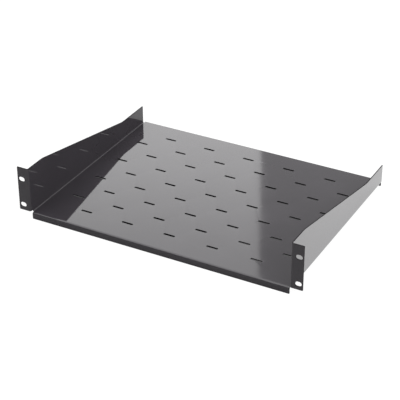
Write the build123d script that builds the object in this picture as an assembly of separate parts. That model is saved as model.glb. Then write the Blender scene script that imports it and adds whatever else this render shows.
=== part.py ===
from build123d import *
import os

# Vented cantilever shelf for a 19-inch rack, two units high, folded from one steel sheet.
# X runs across the rack, Y from the front to the rear and Z up. The origin lies on the
# surface that the shelf stands on, under the middle of its width and depth.
# All sizes are in millimetres.

# Sheet and folds
sheet = 1.5  # thickness of the steel
bend_radius = 1.5  # inside radius of every fold
corner_radius = 1.0  # rounding of the free corners of ears, lips and walls

# Tray
tray_width = 443.0  # across the outer faces of the side walls
depth = 350.0  # from the front of the ears to the rear face of the rear lip
lip_drop = 11.0  # from the top of the floor to the lower edges of both lips
lip_setback = 2.0  # front lip behind the front of the ears

# Side walls, whose top edge slopes down from the ears to the rear
wall_front_run = 41.0  # level top edge behind the front of the ears
wall_rear_run = 67.0  # level top edge at the rear end
wall_rear_rise = 31.2  # rear top edge above the top of the floor
wall_blend_radius = 60.0  # where the slope meets the two level runs
front_relief = 2.0  # gap between the front lip's fold and the walls' folds
rear_relief = 3.5  # gap between the rear lip's fold and the walls' folds

# Ears with their elongated bolt holes
ear_reach = 18.5  # from the wall's outer face to the ear's outer edge
ear_lift = 2.0  # lower edge of the ears above the top of the floor
ear_height = 74.5
ear_hole_length = 10.5
ear_hole_width = 7.5
ear_hole_inset = 7.45  # hole centre in from the ear's outer edge
ear_hole_rise = 9.8  # lower hole centre above the ear's lower edge
ear_hole_pitch = 44.45  # one rack unit between the two holes of an ear

# Vent slots, in staggered rows along the rack's width
slot_length = 19.0
slot_width = 3.5
slot_pitch = 73.0  # between neighbours in a row
slot_row_pitch = 33.25  # between rows
slot_rear_margin = 40.0  # rearmost row's centre line from the rear face
slot_web = 15.0  # least sheet left between a slot and the nearest fold

# Levels and places that follow
fold = bend_radius + sheet  # outside radius, and length of sheet that a fold takes up
floor_top = lip_drop
floor_middle = floor_top - sheet / 2
ear_bottom = floor_top + ear_lift
top = ear_bottom + ear_height
wall_rear_top = floor_top + wall_rear_rise
wall_outside = tray_width / 2
wall_middle = wall_outside - sheet / 2
floor_half = wall_outside - fold  # half of the flat floor's width
ear_edge = wall_outside + ear_reach
ear_front = -depth / 2
lip_front = ear_front + lip_setback
rear_face = depth / 2
floor_front = lip_front + fold  # flat floor between the folds of the lips
floor_rear = rear_face - fold
wall_front = floor_front + front_relief  # lower part of the walls, below the ears
wall_rear = floor_rear - rear_relief
ear_fold_start = ear_front + fold


def folded_section(plane, corners):
    """Section of a strip of sheet whose middle line runs through the corners."""
    with BuildSketch(plane) as section:
        with BuildLine():
            middle = FilletPolyline(*corners, radius=bend_radius + sheet / 2)
        trace(middle, line_width=sheet)
    return section.sketch


def floor_with_lips():
    """Floor between the side folds, with a lip turned down at its front and rear."""
    section = folded_section(
        Plane.YZ,
        [
            (lip_front + sheet / 2, 0),
            (lip_front + sheet / 2, floor_middle),
            (rear_face - sheet / 2, floor_middle),
            (rear_face - sheet / 2, 0),
        ],
    )
    strip = extrude(section, amount=floor_half, both=True)
    lip_corners = strip.edges().filter_by(Axis.Y).filter_by_position(Axis.Z, -sheet, sheet)
    return fillet(lip_corners, radius=corner_radius)


def side_outline():
    """Side view of the walls: level, sloping and level again, cut back below the ears."""
    corners = [
        (wall_front, 0),
        (wall_front, ear_bottom),
        (ear_fold_start, ear_bottom),
        (ear_fold_start, top),
        (ear_front + wall_front_run, top),
        (wall_rear - wall_rear_run, wall_rear_top),
        (wall_rear, wall_rear_top),
        (wall_rear, 0),
    ]
    blends = [0, 0, 0, 0, wall_blend_radius, wall_blend_radius, corner_radius, 0]
    with BuildSketch(Plane.YZ) as outline:
        with BuildLine():
            FilletPolyline(*corners, radius=blends, close=True)
        make_face()
    return outline.sketch


def side_walls():
    """Both walls with their folds, as a channel that is trimmed to the side outline."""
    section = folded_section(
        Plane.XZ.offset(-wall_rear),
        [
            (-wall_middle, top),
            (-wall_middle, floor_middle),
            (wall_middle, floor_middle),
            (wall_middle, top),
        ],
    )
    channel = extrude(section, amount=wall_rear - ear_fold_start)
    return channel & extrude(side_outline(), amount=tray_width, both=True)


def ear():
    """Right ear, folded outwards from the front edge of the wall."""
    section = folded_section(
        Plane.XY.offset(ear_bottom),
        [
            (wall_middle, wall_front),
            (wall_middle, ear_front + sheet / 2),
            (ear_edge, ear_front + sheet / 2),
        ],
    )
    strip = extrude(section, amount=ear_height)
    outer_corners = strip.edges().filter_by(Axis.Y).filter_by_position(
        Axis.X, ear_edge - sheet, ear_edge + sheet
    )
    strip = fillet(outer_corners, radius=corner_radius)
    hole_x = ear_edge - ear_hole_inset
    hole_z = ear_bottom + ear_hole_rise
    with BuildSketch(Plane.XZ.offset(-ear_front)) as holes:
        with Locations((hole_x, hole_z), (hole_x, hole_z + ear_hole_pitch)):
            SlotOverall(ear_hole_length, ear_hole_width)
    return strip - extrude(holes.sketch, amount=2 * sheet, both=True)


def slot_centres():
    """Rows step forward from the rear margin, and every second row is shifted by half a pitch."""
    half_run = floor_half - slot_web - slot_length / 2
    first_row = rear_face - slot_rear_margin
    row_run = first_row - (floor_front + slot_web + slot_width / 2)
    centres = []
    for row in range(int(row_run // slot_row_pitch) + 1):
        shift = slot_pitch / 2 if row % 2 else 0
        steps = int((half_run - shift) // slot_pitch)
        right_side = [shift + step * slot_pitch for step in range(steps + 1)]
        left_side = [-x for x in right_side if x > 0]
        y = first_row - row * slot_row_pitch
        centres += [(x, y) for x in sorted(left_side + right_side)]
    return centres


def vent_slots():
    """Tools that punch the slots through the floor."""
    with BuildSketch(Plane.XY.offset(floor_middle)) as slots:
        with Locations(*slot_centres()):
            SlotOverall(slot_length, slot_width)
    return extrude(slots.sketch, amount=sheet, both=True)


def shelf():
    """The whole folded sheet, as one solid."""
    right_ear = ear()
    left_ear = mirror(right_ear, about=Plane.YZ)
    folded = floor_with_lips() + side_walls() + right_ear + left_ear
    return (folded - vent_slots()).clean()


shelf_tray = shelf()
shelf_tray.label = "shelf_tray"

os.makedirs("parts", exist_ok=True)
export_step(shelf_tray, "parts/shelf_tray.step")
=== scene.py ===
"""Looks of a glossy black vented shelf for a 19-inch rack, folded from one steel sheet.

The sheet is drawn flat, given its thickness and then folded along its six bend lines
by a Geometry Nodes tree, so its sizes can be changed before it is made.
"""

import math

import bpy
from bpy.props import FloatProperty, FloatVectorProperty, IntProperty, PointerProperty
from mathutils import Matrix, Vector


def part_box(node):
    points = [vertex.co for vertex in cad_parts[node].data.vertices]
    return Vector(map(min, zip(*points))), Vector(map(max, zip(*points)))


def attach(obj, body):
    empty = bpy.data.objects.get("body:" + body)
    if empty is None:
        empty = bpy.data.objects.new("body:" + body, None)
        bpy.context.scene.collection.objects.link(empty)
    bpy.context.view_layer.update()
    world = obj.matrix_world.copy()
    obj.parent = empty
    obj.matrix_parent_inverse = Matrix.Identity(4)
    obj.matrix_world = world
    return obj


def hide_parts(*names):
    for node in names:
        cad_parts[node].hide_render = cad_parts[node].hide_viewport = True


bl_info = {
    "name": "Folded rack shelf",
    "version": (1, 0, 0),
    "blender": (4, 5, 0),
    "location": "3D View > Sidebar > Shelf",
    "description": "Makes a vented rack shelf from one folded sheet, and its studio",
    "category": "Add Mesh",
}

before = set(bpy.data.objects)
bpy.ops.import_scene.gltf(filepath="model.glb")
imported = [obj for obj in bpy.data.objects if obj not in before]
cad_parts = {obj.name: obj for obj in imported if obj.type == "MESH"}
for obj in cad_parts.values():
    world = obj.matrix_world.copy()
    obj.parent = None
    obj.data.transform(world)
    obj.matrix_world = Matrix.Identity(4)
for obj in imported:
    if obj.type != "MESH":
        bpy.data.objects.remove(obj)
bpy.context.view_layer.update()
CAD_LOW, CAD_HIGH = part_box("shelf_tray")

# Detail of the mesh
CORNER_STEPS = 6  # steps in the rounding of a corner
SLOT_END_STEPS = 7  # steps in each of a slot's four rounded corners
SLOT_END_SHARE = 0.4995  # rounding of a slot's corners, just under half of its width
MERGE_DISTANCE = 0.00001  # metres
FOLD_MARGIN = 0.05  # share of the side fold that still counts as floor or already as wall
EDGE_STEPS = 2  # segments in the rounding of a cut edge
SHARP_EDGE = math.radians(50)  # sharper edges get rounded, and the folds' facets don't
EDGE_SLOT = 1  # material slot of the cut edges, straight after the folding
FLAT_FACE_WEIGHT = 100  # from 1 to 100: how much large faces count in the shading's normals

# The photograph's camera
SENSOR_WIDTH = 36.0  # millimetres
LENS = 123.282  # millimetres
SIGHT = 50.0  # metres, as far as the camera sees
CAMERA_PLACE = (0.8682, -1.6432, 1.1027)  # metres
CAMERA_ROLL = math.radians(-0.14203)

# Floor: where the soft borders of its painted shadow and of its painted light start and end, in
# metres
FLOOR_REACH = 12.0
# Painted shadow under the shelf: where the floor's white glow is left out
UNDER_LEFT = (-0.009, -0.004)  # outwards from the left wall
UNDER_RIGHT = (-0.016, -0.012)  # outwards from the right wall
UNDER_FRONT = (-0.006, -0.001)  # forwards from the ears
UNDER_REAR = (-0.004, 0.001)  # backwards from the rear lip
# Painted light on the floor, seen only in what the paint mirrors: its borders behind the shelf and
# at its right, clear of the ears
REAR_GLOW_START = (0.0, 0.03)  # backwards from the rear lip
RIGHT_GLOW_START = (0.208, 0.2225)  # along X
BEHIND_EAR = (-0.172, -0.165)  # along Y
PAST_EAR = (0.236, 0.25)  # along X
# Painted light under the shelf, seen by the camera through the slots: its borders
RIGHT_UNDER_START = (0.03, 0.15)  # along X
FRONT_UNDER_START = (-0.05, 0.12)  # against Y
LEFT_UNDER_START = (0.16, 0.18)  # against X
LEFT_UNDER_FRONT = (-0.045, 0.03)  # against Y
# Painted light under the shelf, seen only in what the paint mirrors: its border
MIRRORED_UNDER_START = (0.09, 0.13)  # against X

# Floor: how strongly its zones glow for the camera and in the paint; all but the open floor's white
# glow is painted light
OPEN_SEEN_GLOW = 0.94
SEEN_COLOUR_SHARE = 0.3  # share of the floor's colour that shows light and shadow to the camera
# Painted light under the shelf, seen by the camera through the slots
LEFT_PAINTED_LIGHT_UNDER = 0.065
RIGHT_PAINTED_LIGHT_UNDER = 0.115
RIGHT_PAINTED_LIGHT_REAR_SHARE = 0.33  # of the glow seen at the right, left over at the rear
# Painted light on the floor, which the paint shows as painted reflections
UNDER_PAINTED_MIRRORED_LIGHT = 0.95
RIGHT_PAINTED_MIRRORED_LIGHT = 1.45
REAR_PAINTED_MIRRORED_LIGHT = 0.36

# World: from, to, softness before and softness after, of the turn and of the rise, in degrees
REAR_LEFT_BOX = ((25.46, 70, 0.1, 15), (14, 62, 8, 12))
OVER_LEFT_BOX = ((60, 150, 15, 12), (44, 68, 8, 8))
FRONT_LEFT_BOX = ((140, 158, 10, 10), (41, 60, 4, 10))
CENTRE_BOX = ((-11, 8, 6, 6), (34, 48, 4, 4))
RIGHT_BOX = ((50, 140, 10, 10), (20, 65, 8, 8))
REAR_TURN = (0, 25.5, 12, 1)
FRONT_TURN = (115, 200, 15, 1)
LOW_RISE = (27.5, 34)  # where the low part of the world ends
FRONT_LOW_RISE = (26, 36)  # where the darker part low at the front ends

# World: how bright its zones are
OVERHEAD_SHARE = 1.25  # of the left softbox where it reaches overhead
CENTRE_GLOW = 1.5
LOW_GLOW = 0.47  # share added to the surroundings and the left softbox where they are low
AROUND_SHARE = 0.6  # of the surroundings, all round
REAR_SHARE = 0.56  # of the surroundings, added at the rear
REAR_LOW_SHARE = 0.11  # of the surroundings, added low at the rear
FRONT_LOW_DIMMING = 0.75  # share taken from the surroundings low at the front


# Node trees


class Value:
    """A socket of a node tree that can be used in Python arithmetic."""

    def __init__(self, tree, socket):
        self.tree = tree
        self.socket = socket

    def maths(self, operation, *values):
        """What a Math node makes of the values."""
        return self.tree.add("ShaderNodeMath", {"operation": operation}, list(values))[0]

    def larger(self, other):
        return self.maths("MAXIMUM", self, other)

    def smaller(self, other):
        return self.maths("MINIMUM", self, other)

    def __add__(self, other):
        return self.maths("ADD", self, other)

    def __radd__(self, other):
        return self.maths("ADD", other, self)

    def __sub__(self, other):
        return self.maths("SUBTRACT", self, other)

    def __rsub__(self, other):
        return self.maths("SUBTRACT", other, self)

    def __mul__(self, other):
        return self.maths("MULTIPLY", self, other)

    def __rmul__(self, other):
        return self.maths("MULTIPLY", other, self)

    def __truediv__(self, other):
        return self.maths("DIVIDE", self, other)

    def __rtruediv__(self, other):
        return self.maths("DIVIDE", other, self)

    def __neg__(self):
        return self.maths("MULTIPLY", self, -1)

    def __lt__(self, other):
        return self.maths("LESS_THAN", self, other)

    def __gt__(self, other):
        return self.maths("GREATER_THAN", self, other)

    def __abs__(self):
        return self.maths("ABSOLUTE", self)


class Tree:
    """Adds nodes to a node tree, with one call for each node."""

    def __init__(self, tree):
        self.tree = tree
        tree.nodes.clear()

    def add(self, kind, settings=None, sockets=None):
        """Adds a node: its settings first, and then what its input sockets get.

        Sockets are given by name, or as a list from the first one on. A list's place
        that holds None is left as it is. What comes back is the list of its outputs.
        """
        node = self.tree.nodes.new(kind)
        for name, setting in (settings or {}).items():
            setattr(node, name, setting)
        if isinstance(sockets, dict):
            pairs = [(node.inputs[name], given) for name, given in sockets.items()]
        else:
            pairs = list(zip(node.inputs, sockets or []))
        for socket, given in pairs:
            self.give(socket, given)
        return [Value(self, output) for output in node.outputs]

    def give(self, socket, given):
        if given is None:
            return
        if isinstance(given, Value):
            self.tree.links.new(given.socket, socket)
        else:
            socket.default_value = given

    def output(self, kind, name):
        """The output called name of a node that needs nothing."""
        node = self.tree.nodes.new(kind)
        return Value(self, node.outputs[name])

    def vector(self, x, y, z=0.0):
        return self.add("ShaderNodeCombineXYZ", None, [x, y, z])[0]

    def parts(self, vector):
        return self.add("ShaderNodeSeparateXYZ", None, [vector])

    def smooth_step(self, value, start, end, base=0.0):
        """0 below start, 1 above end, and smooth in between. Both count from base."""
        start, end = base + start, base + end
        return self.add(
            "ShaderNodeMapRange",
            {"interpolation_type": "SMOOTHSTEP"},
            {"Value": value, "From Min": start, "From Max": end},
        )[0]

    def mix_colours(self, factor, first, second):
        """A colour between two others. A Mix node's inputs 6 and 7 and output 2 are colours."""
        node = self.tree.nodes.new("ShaderNodeMix")
        node.data_type = "RGBA"
        self.give(node.inputs[0], factor)
        self.give(node.inputs[6], first)
        self.give(node.inputs[7], second)
        return Value(self, node.outputs[2])

    def noise(self, place, scale, detail):
        sockets = {"Vector": place, "Scale": scale, "Detail": detail}
        return self.add("ShaderNodeTexNoise", None, sockets)[0]


def new_material(name):
    material = bpy.data.materials.new(name)
    material.use_nodes = True
    return material, Tree(material.node_tree)


def opaque(colour, share=1.0):
    """Red, green, blue and alpha of that share of a colour."""
    return (*(channel * share for channel in colour), 1.0)


# Sizes and finishes that can be changed


def length(name, description, default):
    """A size in metres."""
    return FloatProperty(
        name=name,
        description=description,
        default=default,
        min=0.0,
        precision=5,
        subtype="DISTANCE",
        unit="LENGTH",
    )


class ShelfSizes(bpy.types.PropertyGroup):
    """Sizes of the folded sheet."""

    width: length("Width", "From one ear's outer edge to the other's", CAD_HIGH.x - CAD_LOW.x)
    depth: length("Depth", "From the front of the ears to the rear lip", CAD_HIGH.y - CAD_LOW.y)
    height: length("Height", "From the lips' lower edges to the top of the ears", CAD_HIGH.z)
    sheet: length("Sheet", "Thickness of the steel", 0.0015)
    bend_radius: length("Bend radius", "Inside radius of every fold", 0.0015)
    corner_radius: length("Corner radius", "Rounding of the free corners", 0.001)
    tray_width: length("Tray width", "Across the outer faces of the walls", 0.443)
    lip_drop: length("Lip drop", "From the top of the floor to the lips' lower edges", 0.011)
    lip_setback: length("Lip setback", "Front lip behind the front of the ears", 0.002)
    wall_front_run: length("Wall's front run", "Level top edge behind the ears", 0.041)
    wall_rear_run: length("Wall's rear run", "Level top edge at the rear end", 0.067)
    wall_rear_rise: length("Wall's rear rise", "Rear top edge above the floor", 0.0312)
    wall_blend: length("Wall's blends", "Radius where the slope meets the level runs", 0.06)
    front_relief: length("Front relief", "Gap between the front lip and the walls", 0.002)
    rear_relief: length("Rear relief", "Gap between the rear lip and the walls", 0.0035)
    ear_height: length("Ear height", "Height of the ears", 0.0745)
    hole_length: length("Bolt hole length", "Length of the holes in the ears", 0.0105)
    hole_width: length("Bolt hole width", "Width of the holes in the ears", 0.0075)
    hole_inset: length("Bolt hole inset", "Hole centre in from the ear's edge", 0.00745)
    hole_rise: length("Bolt hole rise", "Lower hole centre above the ear's edge", 0.0098)
    hole_pitch: length("Bolt hole pitch", "Between the two holes of an ear", 0.04445)
    slot_length: length("Slot length", "Length of a vent slot", 0.019)
    slot_width: length("Slot width", "Width of a vent slot", 0.0035)
    slot_pitch: length("Slot pitch", "Between neighbours in a row", 0.073)
    slot_row_pitch: length("Row pitch", "Between rows of slots", 0.03325)
    slot_rear_margin: length("Rear margin", "Last row from the rear face", 0.04)
    slot_rows: IntProperty(name="Rows", description="Rows of vent slots", default=9, min=1)
    slot_columns: IntProperty(
        name="Columns", description="Slots in the first and every second row", default=5, min=1
    )
    edge_round: length("Edge rounding", "Rounding of the sheet's cut edges", 0.0003)
    fold_steps: IntProperty(
        name="Fold steps", description="Facets in every fold", default=12, min=2
    )


class ShelfPaint(bpy.types.PropertyGroup):
    """The glossy black paint."""

    colour: FloatVectorProperty(
        name="Colour",
        description="Colour of the paint",
        default=(0.0412, 0.0369, 0.0431),
        size=3,
        min=0.0,
        max=1.0,
        subtype="COLOR",
    )
    roughness: FloatProperty(
        name="Roughness",
        description="Roughness of the paint where it is smoothest",
        default=0.04,
        min=0.0,
        max=1.0,
        subtype="FACTOR",
    )
    gloss: FloatProperty(
        name="Refractive index",
        description="Refractive index of the paint, which sets how much it mirrors",
        default=1.6,
        min=1.0,
        max=3.0,
    )
    ripple_size: length("Ripple size", "Distance between ripples of the paint", 0.004)
    ripple_height: length("Ripple height", "Height of the ripples of the paint", 0.0000015)


class StudioLight(bpy.types.PropertyGroup):
    """Light, floor and camera."""

    surroundings: FloatProperty(
        name="Surroundings", description="Brightness all round", default=0.54, min=0.0
    )
    softbox: FloatProperty(
        name="Softbox", description="Brightness of the large softbox", default=1.92, min=0.0
    )
    side_light: FloatProperty(
        name="Side light",
        description="Brightness of the softbox at the right",
        default=2.2,
        min=0.0,
    )
    floor_colour: FloatVectorProperty(
        name="Floor",
        description="Colour of the studio floor",
        default=(0.4, 0.4, 0.4),
        size=3,
        min=0.0,
        max=1.0,
        subtype="COLOR",
    )
    camera_turn: FloatProperty(
        name="Camera turn",
        description="Turn of the camera from looking straight to the rear",
        default=math.radians(28.337),
        subtype="ANGLE",
        unit="ROTATION",
    )
    camera_tilt: FloatProperty(
        name="Camera tilt",
        description="How far the camera looks down",
        default=math.radians(30.594),
        subtype="ANGLE",
        unit="ROTATION",
    )


# The folded sheet


class FlatSheet:
    """Builds the sheet's node tree: its panels lie flat and are then folded."""

    SIZES = [
        "width",
        "depth",
        "height",
        "sheet",
        "bend_radius",
        "corner_radius",
        "tray_width",
        "lip_drop",
        "lip_setback",
        "wall_front_run",
        "wall_rear_run",
        "wall_rear_rise",
        "wall_blend",
        "front_relief",
        "rear_relief",
        "ear_height",
        "hole_length",
        "hole_width",
        "hole_inset",
        "hole_rise",
        "hole_pitch",
        "slot_length",
        "slot_width",
        "slot_pitch",
        "slot_row_pitch",
        "slot_rear_margin",
    ]
    COUNTS = ["slot_rows", "slot_columns", "fold_steps"]

    def __init__(self, sizes):
        self.group = bpy.data.node_groups.new("folded_sheet", "GeometryNodeTree")
        self.tree = Tree(self.group)
        interface = self.group.interface
        interface.new_socket("Geometry", in_out="INPUT", socket_type="NodeSocketGeometry")
        self.settings = {}
        for name in self.SIZES:
            socket = interface.new_socket(name, in_out="INPUT", socket_type="NodeSocketFloat")
            socket.subtype = "DISTANCE"
            self.settings[socket.identifier] = getattr(sizes, name)
        for name in self.COUNTS:
            socket = interface.new_socket(name, in_out="INPUT", socket_type="NodeSocketInt")
            self.settings[socket.identifier] = getattr(sizes, name)
        self.finishes = {}
        for name in ("finish", "edge_finish"):
            socket = interface.new_socket(name, in_out="INPUT", socket_type="NodeSocketMaterial")
            self.finishes[name] = socket.identifier
        interface.new_socket("Geometry", in_out="OUTPUT", socket_type="NodeSocketGeometry")
        inputs = self.group.nodes.new("NodeGroupInput")
        named = [output for output in inputs.outputs if output.name]
        self.given = {output.name: Value(self.tree, output) for output in named}
        self.follow_from_sizes()

    def follow_from_sizes(self):
        """Places that follow from the sizes, in the flat sheet and in the folded one."""
        g = self.given
        half_sheet = g["sheet"] / 2
        self.radius = g["bend_radius"] + half_sheet
        self.fold = self.radius * (math.pi / 2)
        outside = g["bend_radius"] + g["sheet"]
        half_depth = g["depth"] / 2
        self.floor_level = g["lip_drop"] - half_sheet
        self.floor_side = g["tray_width"] / 2 - outside
        self.floor_front = g["lip_setback"] + outside - half_depth
        self.floor_rear = half_depth - outside
        self.wall_front = self.floor_front + g["front_relief"]
        self.wall_rear = self.floor_rear - g["rear_relief"]
        self.ear_front = outside - half_depth
        self.wall_foot = self.floor_side + self.fold
        self.foot_level = self.floor_level + self.radius
        self.ear_foot = self.ear_front - self.fold
        self.ear_reach = g["width"] / 2 - (g["tray_width"] / 2 - half_sheet + self.radius)

    def up_wall(self, level):
        """Place on the flat sheet of a point of the wall at that level."""
        return self.wall_foot + (level - self.foot_level)

    def outline(self, corners, radii=None):
        """Closed outline through the corners, rounded where a radius is one of the sizes."""
        tree = self.tree
        ring = tree.add(
            "GeometryNodeCurvePrimitiveCircle", {"mode": "RADIUS"}, {"Resolution": len(corners)}
        )[0]
        index = tree.output("GeometryNodeInputIndex", "Index")
        place = self.choose(index, "VECTOR", [tree.vector(x, y) for x, y in corners])
        ring = tree.add("GeometryNodeSetPosition", None, {"Geometry": ring, "Position": place})[0]
        if radii is None:
            return ring
        steps = [CORNER_STEPS if isinstance(radius, Value) else 0 for radius in radii]
        steps = self.choose(index, "INT", steps)
        return self.rounded(ring, steps, self.choose(index, "FLOAT", radii))

    def rounded(self, curve, steps, radius):
        """The curve with its corners rounded, each in that many steps."""
        return self.tree.add(
            "GeometryNodeFilletCurve",
            {"mode": "POLY"},
            {"Curve": curve, "Count": steps, "Radius": radius, "Limit Radius": True},
        )[0]

    def choose(self, index, data_type, choices):
        """The choice with that index."""
        node = self.group.nodes.new("GeometryNodeIndexSwitch")
        node.data_type = data_type
        while len(node.index_switch_items) < len(choices):
            node.index_switch_items.new()
        self.tree.give(node.inputs[0], index)
        for socket, choice in zip(list(node.inputs)[1:], choices):
            self.tree.give(socket, choice)
        return Value(self.tree, node.outputs[0])

    def obround(self, across, along):
        """Outline of a slot about the origin, with half rounds at its ends."""
        box = self.tree.add(
            "GeometryNodeCurvePrimitiveQuadrilateral", {"mode": "RECTANGLE"}, [across, along]
        )[0]
        return self.rounded(box, SLOT_END_STEPS, across.smaller(along) * SLOT_END_SHARE)

    def join(self, *parts):
        node = self.group.nodes.new("GeometryNodeJoinGeometry")
        for part in reversed(parts):
            self.group.links.new(part.socket, node.inputs[0])
        return Value(self.tree, node.outputs[0])

    def shift(self, geometry, x, y, z=0.0):
        return self.tree.add(
            "GeometryNodeTransform",
            None,
            {"Geometry": geometry, "Translation": self.tree.vector(x, y, z)},
        )[0]

    def filled(self, *curves):
        """Flat panel inside the first outline, without what the others enclose."""
        return self.tree.add(
            "GeometryNodeFillCurve", {"mode": "TRIANGLES"}, {"Curve": self.join(*curves)}
        )[0]

    def fold_strip(self, left, right, front, rear, along_x):
        """The strip of sheet that a fold bends, with a row of faces for each step.

        along_x says that the fold's line runs along X, and so its steps follow Y.
        """
        lines = self.given["fold_steps"] + 1
        strip = self.tree.add(
            "GeometryNodeMeshGrid",
            None,
            {
                "Size X": right - left,
                "Size Y": rear - front,
                "Vertices X": 2 if along_x else lines,
                "Vertices Y": lines if along_x else 2,
            },
        )[0]
        return self.shift(strip, (left + right) / 2, (front + rear) / 2)

    def vent_slots(self):
        """Outlines of the slots: every second row has one slot more and is shifted.

        All rows start with the longer rows' number of points. The others lose their last
        one and lie half a pitch further right. Halves keep rounding away from whole numbers.
        """
        g = self.given
        add = self.tree.add
        columns = g["slot_columns"] + 1
        index = self.tree.output("GeometryNodeInputIndex", "Index")
        points = add("GeometryNodePoints", None, {"Count": columns * g["slot_rows"]})[0]
        rows_passed = (index + 0.5) / columns
        row = rows_passed.maths("FLOOR", rows_passed)
        column = index - row * columns
        longer = row.maths("MODULO", row, 2.0)
        shorter = 1 - longer
        x = (column - (columns - 1) / 2 + shorter * 0.5) * g["slot_pitch"]
        y = g["depth"] / 2 - g["slot_rear_margin"] - row * g["slot_row_pitch"]
        place = self.tree.vector(x, y)
        placed = add("GeometryNodeSetPosition", None, {"Geometry": points, "Position": place})[0]
        last = column > columns - 1.5
        kept = add(
            "GeometryNodeDeleteGeometry",
            {"domain": "POINT"},
            {"Geometry": placed, "Selection": shorter * last},
        )[0]
        slots = add(
            "GeometryNodeInstanceOnPoints",
            None,
            {"Points": kept, "Instance": self.obround(g["slot_length"], g["slot_width"])},
        )[0]
        return add("GeometryNodeRealizeInstances", None, {"Geometry": slots})[0]

    def floor_panel(self):
        """Floor with its slots. The ends of the side folds have their own corners on it."""
        side = self.floor_side
        corners = [
            (-side, self.floor_front),
            (side, self.floor_front),
            (side, self.wall_front),
            (side, self.wall_rear),
            (side, self.floor_rear),
            (-side, self.floor_rear),
            (-side, self.wall_rear),
            (-side, self.wall_front),
        ]
        return self.filled(self.outline(corners), self.vent_slots())

    def lips(self):
        """Front and rear lip, flat, each with its fold."""
        side = self.floor_side
        drop = self.floor_level - self.radius
        round_corner = self.given["corner_radius"]
        parts = []
        for start, way in ((self.floor_front, -1), (self.floor_rear, 1)):
            root = start + way * self.fold
            edge = root + way * drop
            corners = [(-side, root), (side, root), (side, edge), (-side, edge)]
            radii = [0.0, 0.0, round_corner, round_corner]
            parts.append(self.filled(self.outline(corners, radii)))
            front, rear = (root, start) if way < 0 else (start, root)
            parts.append(self.fold_strip(-side, side, front, rear, True))
        return parts

    def right_wall(self):
        """Right wall with its fold, and the ear with its own."""
        g = self.given
        foot = self.wall_foot
        ear_low = self.up_wall(g["height"] - g["ear_height"])
        wall_top = self.up_wall(g["height"])
        rear_top = self.up_wall(g["lip_drop"] + g["wall_rear_rise"])
        corners = [
            (foot, self.wall_front),
            (foot, self.wall_rear),
            (rear_top, self.wall_rear),
            (rear_top, self.wall_rear - g["wall_rear_run"]),
            (wall_top, g["wall_front_run"] - g["depth"] / 2),
            (wall_top, self.ear_front),
            (ear_low, self.ear_front),
            (ear_low, self.wall_front),
        ]
        corner, blend = g["corner_radius"], g["wall_blend"]
        radii = [0.0, 0.0, corner, blend, blend, 0.0, 0.0, 0.0]
        wall = self.filled(self.outline(corners, radii))
        wall_fold = self.fold_strip(self.floor_side, foot, self.wall_front, self.wall_rear, False)
        ear_foot = self.ear_foot
        ear_fold = self.fold_strip(ear_low, wall_top, ear_foot, self.ear_front, True)
        edge = ear_foot - self.ear_reach
        corners = [(ear_low, ear_foot), (ear_low, edge), (wall_top, edge), (wall_top, ear_foot)]
        ear_outline = self.outline(corners, [0.0, corner, corner, 0.0])
        hole = self.obround(g["hole_width"], g["hole_length"])
        lower = self.shift(hole, ear_low + g["hole_rise"], edge + g["hole_inset"])
        upper = self.shift(lower, g["hole_pitch"], 0.0)
        return self.join(wall, wall_fold, ear_fold, self.filled(ear_outline, lower, upper))

    def mirrored(self, geometry):
        """The same on the left side, with its faces still upwards."""
        sockets = {"Geometry": geometry, "Scale": (-1.0, 1.0, 1.0)}
        turned = self.tree.add("GeometryNodeTransform", None, sockets)[0]
        return self.tree.add("GeometryNodeFlipFaces", None, {"Mesh": turned})[0]

    def merged(self, geometry):
        sockets = {"Geometry": geometry, "Distance": MERGE_DISTANCE}
        return self.tree.add("GeometryNodeMergeByDistance", None, sockets)[0]

    def thickened(self, geometry):
        """The flat surface as a closed sheet, half its thickness to each side."""
        add = self.tree.add
        under = self.shift(geometry, 0.0, 0.0, self.given["sheet"] / -2)
        upper, _, sides = add(
            "GeometryNodeExtrudeMesh",
            {"mode": "FACES"},
            {
                "Mesh": under,
                "Offset": (0.0, 0.0, 1.0),
                "Offset Scale": self.given["sheet"],
                "Individual": False,
            },
        )
        upper = self.painted(upper, "edge_finish", sides)
        turned = add("GeometryNodeFlipFaces", None, {"Mesh": under})[0]
        return self.merged(self.join(upper, turned))

    def painted(self, geometry, finish, selection=None):
        """The geometry with that finish, on the selected faces only where some are given."""
        return self.tree.add(
            "GeometryNodeSetMaterial",
            None,
            {"Geometry": geometry, "Selection": selection, "Material": self.given[finish]},
        )[0]

    def past(self, value, start):
        """How far value is past start, or 0."""
        return (value - start).larger(0.0)

    def turn_and_run(self, past):
        """How far a fold has turned there, and the straight run past its end."""
        turn = past.smaller(self.fold) / self.radius
        return turn, self.past(past, self.fold)

    def folded(self, geometry):
        """Moves every point of the flat sheet to its place on the folded one.

        A point of the floor or its lips only knows the folds of the lips, and one of a
        wall or its ear only the folds of the wall and the ear.
        """
        tree = self.tree
        x, y, rise = tree.parts(tree.output("GeometryNodeInputPosition", "Position"))
        side = x.maths("SIGN", x)
        out = abs(x)
        past_side = self.past(out, self.floor_side)
        on_floor = past_side < self.fold * FOLD_MARGIN
        on_wall = past_side > self.fold * (1 - FOLD_MARGIN)
        past_front = self.past(-y, -self.floor_front) * on_floor
        past_rear = self.past(y, self.floor_rear) * on_floor
        past_wall = self.past(-y, -self.ear_front) * on_wall
        wall_turn, wall_run = self.turn_and_run(past_side)
        front_turn, front_run = self.turn_and_run(past_front)
        rear_turn, rear_run = self.turn_and_run(past_rear)
        ear_turn, ear_run = self.turn_and_run(past_wall)
        inner = self.radius - rise
        outer = self.radius + rise

        def sine(angle):
            return angle.maths("SINE", angle)

        def cosine_drop(angle):
            return 1 - angle.maths("COSINE", angle)

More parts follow.
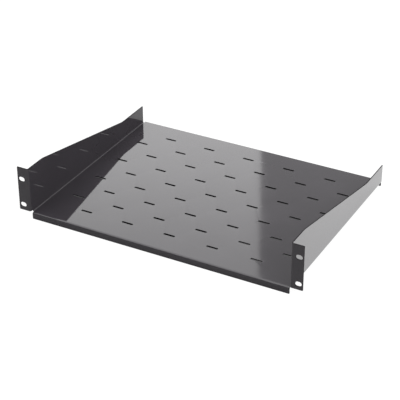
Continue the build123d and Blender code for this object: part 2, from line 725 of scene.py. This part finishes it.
        new_out = (
            out
            - past_side
            + inner * sine(wall_turn)
            + outer * cosine_drop(ear_turn)
            + ear_run
        )
        new_y = (
            y
            + past_front
            + past_wall
            - past_rear
            - outer * (sine(front_turn) + sine(ear_turn) - sine(rear_turn))
        )
        new_z = (
            self.floor_level
            + rise
            + inner * cosine_drop(wall_turn)
            + wall_run
            - outer * (cosine_drop(front_turn) + cosine_drop(rear_turn))
            - front_run
            - rear_run
        )
        place = tree.vector(side * new_out, new_y, new_z)
        sockets = {"Geometry": geometry, "Position": place}
        return tree.add("GeometryNodeSetPosition", None, sockets)[0]

    def build(self):
        """Joins everything and ends the tree in real geometry with its finishes."""
        add = self.tree.add
        wall = self.right_wall()
        panels = [self.floor_panel(), *self.lips(), wall, self.mirrored(wall)]
        shaped = self.folded(self.thickened(self.merged(self.join(*panels))))
        sockets = {"Geometry": shaped, "Shade Smooth": True}
        smooth = add("GeometryNodeSetShadeSmooth", None, sockets)[0]
        real = add("GeometryNodeRealizeInstances", None, {"Geometry": smooth})[0]
        cut = add("GeometryNodeMaterialSelection", None, {"Material": self.given["edge_finish"]})[0]
        finished = self.painted(real, "finish", 1 - cut)
        output = self.group.nodes.new("NodeGroupOutput")
        self.group.links.new(finished.socket, output.inputs[0])
        return self.group


# The sheet's finishes


def black_paint(paint):
    """Glossy black paint: faint ripples, and patches that are lighter and less glossy."""
    patches_per_metre = 14.0
    patch_lightness = 1.12
    patch_roughness = 0.015
    material, tree = new_material("gloss_black_paint")
    place = tree.output("ShaderNodeTexCoord", "Object")
    patches = tree.noise(place, patches_per_metre, detail=3.0)
    ripples = tree.noise(place, 1 / paint.ripple_size, detail=1.0)
    lighter = tree.smooth_step(patches, start=0.35, end=0.7)
    rougher = tree.smooth_step(patches, start=0.4, end=0.75)
    tone = tree.mix_colours(lighter, opaque(paint.colour), opaque(paint.colour, patch_lightness))
    roughness = paint.roughness + rougher * patch_roughness
    bump = tree.add(
        "ShaderNodeBump",
        None,
        {"Strength": 1.0, "Distance": paint.ripple_height, "Height": ripples},
    )[0]
    shader = tree.add(
        "ShaderNodeBsdfPrincipled",
        None,
        {"Base Color": tone, "Roughness": roughness, "IOR": paint.gloss, "Normal": bump},
    )[0]
    tree.add("ShaderNodeOutputMaterial", None, {"Surface": shader})
    return material


def edge_paint(paint):
    """The same paint on the sheet's cut edges, where it lies thin and matt."""
    grains_per_metre = 900.0
    lightness = 0.3
    grain_lightness = 1.3 * lightness
    roughness = 0.55
    grain_roughness = 0.15
    mirroring = 0.05
    material, tree = new_material("matt_edge_paint")
    place = tree.output("ShaderNodeTexCoord", "Object")
    grain = tree.noise(place, grains_per_metre, detail=2.0)
    lighter = tree.smooth_step(grain, start=0.4, end=0.7)
    colour = opaque(paint.colour, lightness)
    tone = tree.mix_colours(lighter, colour, opaque(paint.colour, grain_lightness))
    shader = tree.add(
        "ShaderNodeBsdfPrincipled",
        None,
        {
            "Base Color": tone,
            "Roughness": roughness + grain * grain_roughness,
            "Specular IOR Level": mirroring,
        },
    )[0]
    tree.add("ShaderNodeOutputMaterial", None, {"Surface": shader})
    return material


class SHELF_OT_folded_sheet(bpy.types.Operator):
    """Make the whole shelf as one folded sheet"""

    bl_idname = "shelf.folded_sheet"
    bl_label = "Folded sheet"
    bl_options = {"REGISTER", "UNDO"}

    def execute(self, context):
        sizes = context.scene.shelf_sizes
        flat_sheet = FlatSheet(sizes)
        group = flat_sheet.build()
        paint = context.scene.shelf_paint
        finishes = {"finish": black_paint(paint), "edge_finish": edge_paint(paint)}
        blank = bpy.data.objects.new("blank", bpy.data.meshes.new("blank"))
        context.scene.collection.objects.link(blank)
        # The bevel's faces only get a slot that the blank has before it is folded.
        while len(blank.data.materials) <= EDGE_SLOT:
            blank.data.materials.append(finishes["edge_finish"])
        fold = blank.modifiers.new("Fold", "NODES")
        fold.node_group = group
        for identifier, setting in flat_sheet.settings.items():
            fold[identifier] = setting
        for name, identifier in flat_sheet.finishes.items():
            fold[identifier] = finishes[name]
        rounding = blank.modifiers.new("Rounded edges", "BEVEL")
        rounding.width = sizes.edge_round
        rounding.segments = EDGE_STEPS
        rounding.limit_method = "ANGLE"
        rounding.angle_limit = SHARP_EDGE
        rounding.loop_slide = False
        rounding.use_clamp_overlap = False
        rounding.material = EDGE_SLOT
        shading = blank.modifiers.new("Flat faces stay flat", "WEIGHTED_NORMAL")
        shading.weight = FLAT_FACE_WEIGHT
        evaluated = blank.evaluated_get(context.evaluated_depsgraph_get())
        mesh = bpy.data.meshes.new_from_object(evaluated)
        bpy.data.objects.remove(blank)
        if not mesh.polygons:
            raise RuntimeError("the sheet's node tree gave no faces")
        # Slot 0 is the empty one that the tree's panels start with.
        mesh.materials.pop(index=0)
        mesh.name = "folded_sheet"
        shelf = bpy.data.objects.new("folded_sheet", mesh)
        context.scene.collection.objects.link(shelf)
        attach(shelf, "root")
        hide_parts("shelf_tray")
        return {"FINISHED"}


# Floor, light and camera


def studio_floor(light):
    """Wide pale floor that stays white, and is dark only under the shelf, where a painted shadow
    deepens the real one.

    It glows for the camera and in what the paint mirrors, each in its own way. For the
    camera its white glow is left out under the shelf, a painted shadow, and painted light
    glows there near the left wall and over the right half. The paint mirrors painted light
    under the shelf's left part, to its right and behind it, as painted reflections. To matt
    surfaces it is only a pale floor.
    """
    mesh = bpy.data.meshes.new("studio_floor")
    corners = [(-1, -1), (1, -1), (1, 1), (-1, 1)]
    corners = [(x * FLOOR_REACH, y * FLOOR_REACH, 0) for x, y in corners]
    mesh.from_pydata(corners, [], [(0, 1, 2, 3)])
    floor = bpy.data.objects.new("studio_floor", mesh)
    bpy.context.scene.collection.objects.link(floor)
    material, tree = new_material("pale_floor")
    step = tree.smooth_step
    x, y, _ = tree.parts(tree.output("ShaderNodeTexCoord", "Object"))

    side = bpy.context.scene.shelf_sizes.tray_width / 2
    front, rear = -CAD_LOW.y, CAD_HIGH.y
    # Painted shadow: in a soft rectangle under the shelf the floor loses its white glow, which
    # deepens the real shadow of its matt part
    beyond_left = step(-x, *UNDER_LEFT, base=side)
    beyond_right = step(x, *UNDER_RIGHT, base=side)
    beyond_front = step(-y, *UNDER_FRONT, base=front)
    beyond_rear = step(y, *UNDER_REAR, base=rear)
    under = (1 - beyond_left) * (1 - beyond_right) * (1 - beyond_front) * (1 - beyond_rear)
    outside_painted_shadow = 1 - under

    # Painted light under the shelf, seen by the camera through the slots: near the left wall
    # towards the front, and over the right half, strongest at the front
    front_share = step(-y, *FRONT_UNDER_START)
    right_painted_light_share = RIGHT_PAINTED_LIGHT_REAR_SHARE + (1 - RIGHT_PAINTED_LIGHT_REAR_SHARE) * front_share
    right_painted_light = step(x, *RIGHT_UNDER_START) * right_painted_light_share
    left_painted_light = step(-x, *LEFT_UNDER_START) * step(-y, *LEFT_UNDER_FRONT)
    painted_light_under = LEFT_PAINTED_LIGHT_UNDER * left_painted_light + RIGHT_PAINTED_LIGHT_UNDER * right_painted_light
    seen = OPEN_SEEN_GLOW * outside_painted_shadow + under * painted_light_under

    # Painted light for what the paint mirrors, shown in it as painted reflections: a bright floor
    # at the right, clear of the ears, a brighter floor behind the shelf, and the left part of the
    # floor under it
    clear_of_ear = step(y, *BEHIND_EAR).larger(step(x, *PAST_EAR))
    right_painted_glow = RIGHT_PAINTED_MIRRORED_LIGHT * (step(x, *RIGHT_GLOW_START) * clear_of_ear)
    rear_painted_glow = REAR_PAINTED_MIRRORED_LIGHT * outside_painted_shadow * step(y, *REAR_GLOW_START, base=rear)
    left_painted_glow = UNDER_PAINTED_MIRRORED_LIGHT * step(-x, *MIRRORED_UNDER_START)
    mirrored = under * left_painted_glow + right_painted_glow.larger(rear_painted_glow)

    camera = tree.output("ShaderNodeLightPath", "Is Camera Ray")
    glossy = tree.output("ShaderNodeLightPath", "Is Glossy Ray")
    through = tree.output("ShaderNodeLightPath", "Is Transmission Ray")
    glow = camera * seen + (glossy + through) * mirrored
    seen_colour = opaque(light.floor_colour, SEEN_COLOUR_SHARE)
    pale = tree.mix_colours(camera, opaque(light.floor_colour), seen_colour)
    matte = tree.add("ShaderNodeBsdfDiffuse", None, {"Color": pale})[0]
    shine = tree.add("ShaderNodeEmission", None, {"Color": (1, 1, 1, 1), "Strength": glow})[0]
    both = tree.add("ShaderNodeAddShader", None, [matte, shine])[0]
    tree.add("ShaderNodeOutputMaterial", None, {"Surface": both})
    mesh.materials.append(material)


def studio_world(light):
    """White all round for the camera, and dim with three softboxes for the paint.

    The large one reaches from the rear left round to the front left, where it hangs
    higher. A small one hangs behind the shelf, and another stands at the right. The
    surroundings are brighter at the rear and low down, but darker low at the front. A
    direction's turn counts leftwards from straight behind, and its rise from level.
    """
    world = bpy.data.worlds.new("studio")
    world.use_nodes = True
    bpy.context.scene.world = world
    tree = Tree(world.node_tree)
    x, y, z = tree.parts(tree.output("ShaderNodeTexCoord", "Generated"))
    turn = x.maths("ARCTAN2", -x, y)
    rise = z.maths("ARCSINE", z)

    def above(angle, start, end):
        """0 below one angle in degrees, 1 above another, and smooth in between."""
        return tree.smooth_step(angle, math.radians(start), math.radians(end))

    def within(angle, start, end, soft_start, soft_end):
        """1 between two angles in degrees, with soft ends that lie outside them."""
        return above(angle, start - soft_start, start) * (1 - above(angle, end, end + soft_end))

    def softbox(sideways, box):
        """1 in the box, whose turns count sideways."""
        turns, rises = box
        return within(sideways, *turns) * within(rise, *rises)

    low = 1 - above(rise, *LOW_RISE)
    low_glow = 1 + LOW_GLOW * low
    overhead = softbox(turn, OVER_LEFT_BOX).larger(softbox(turn, FRONT_LEFT_BOX))
    left = softbox(turn, REAR_LEFT_BOX).larger(OVERHEAD_SHARE * overhead)
    right = softbox(-turn, RIGHT_BOX)
    rear = within(turn, *REAR_TURN) * (REAR_SHARE + REAR_LOW_SHARE * low)
    front_low = within(abs(turn), *FRONT_TURN) * (1 - above(rise, *FRONT_LOW_RISE))
    around = light.surroundings * (AROUND_SHARE * low_glow + rear)
    around = around * (1 - FRONT_LOW_DIMMING * front_low)
    more_left = left * (light.softbox * low_glow - around)
    more_right = right * (light.side_light - around)
    strength = around + more_left + more_right + CENTRE_GLOW * softbox(turn, CENTRE_BOX)
    camera = tree.output("ShaderNodeLightPath", "Is Camera Ray")
    sockets = {"Color": (1, 1, 1, 1), "Strength": camera + (1 - camera) * strength}
    background = tree.add("ShaderNodeBackground", None, sockets)[0]
    tree.add("ShaderNodeOutputWorld", None, {"Surface": background})


def studio_camera(light):
    """Camera at the photograph's angle, above the shelf's front right corner."""
    data = bpy.data.cameras.new("camera")
    data.sensor_width = SENSOR_WIDTH
    data.lens = LENS
    data.clip_end = SIGHT
    camera = bpy.data.objects.new("camera", data)
    bpy.context.scene.collection.objects.link(camera)
    bpy.context.scene.camera = camera
    turn = Matrix.Rotation(light.camera_turn, 4, "Z")
    tilt = Matrix.Rotation(math.pi / 2 - light.camera_tilt, 4, "X")
    roll = Matrix.Rotation(CAMERA_ROLL, 4, "Z")
    camera.matrix_world = Matrix.Translation(Vector(CAMERA_PLACE)) @ turn @ tilt @ roll


class SHELF_OT_studio(bpy.types.Operator):
    """Make the floor, the light and the camera"""

    bl_idname = "shelf.studio"
    bl_label = "Studio"
    bl_options = {"REGISTER", "UNDO"}

    def execute(self, context):
        light = context.scene.studio_light
        studio_floor(light)
        studio_world(light)
        studio_camera(light)
        context.scene.view_settings.view_transform = "Standard"
        return {"FINISHED"}


class SHELF_PT_panel(bpy.types.Panel):
    """Sizes, finish and studio of the shelf"""

    bl_idname = "SHELF_PT_panel"
    bl_label = "Rack shelf"
    bl_space_type = "VIEW_3D"
    bl_region_type = "UI"
    bl_category = "Shelf"

    def draw(self, context):
        for title, settings, operator in (
            ("Sheet", context.scene.shelf_sizes, SHELF_OT_folded_sheet),
            ("Paint", context.scene.shelf_paint, None),
            ("Studio", context.scene.studio_light, SHELF_OT_studio),
        ):
            box = self.layout.box()
            box.label(text=title)
            for name in settings.bl_rna.properties.keys():
                if name not in ("rna_type", "name"):
                    box.prop(settings, name)
            if operator:
                box.operator(operator.bl_idname)


CLASSES = (
    ShelfSizes,
    ShelfPaint,
    StudioLight,
    SHELF_OT_folded_sheet,
    SHELF_OT_studio,
    SHELF_PT_panel,
)


def register():
    for kind in CLASSES:
        bpy.utils.register_class(kind)
    bpy.types.Scene.shelf_sizes = PointerProperty(type=ShelfSizes)
    bpy.types.Scene.shelf_paint = PointerProperty(type=ShelfPaint)
    bpy.types.Scene.studio_light = PointerProperty(type=StudioLight)


def unregister():
    del bpy.types.Scene.studio_light
    del bpy.types.Scene.shelf_paint
    del bpy.types.Scene.shelf_sizes
    for kind in reversed(CLASSES):
        bpy.utils.unregister_class(kind)


def main():
    register()
    bpy.ops.shelf.folded_sheet()
    bpy.ops.shelf.studio()


if __name__ == "__main__":
    main()
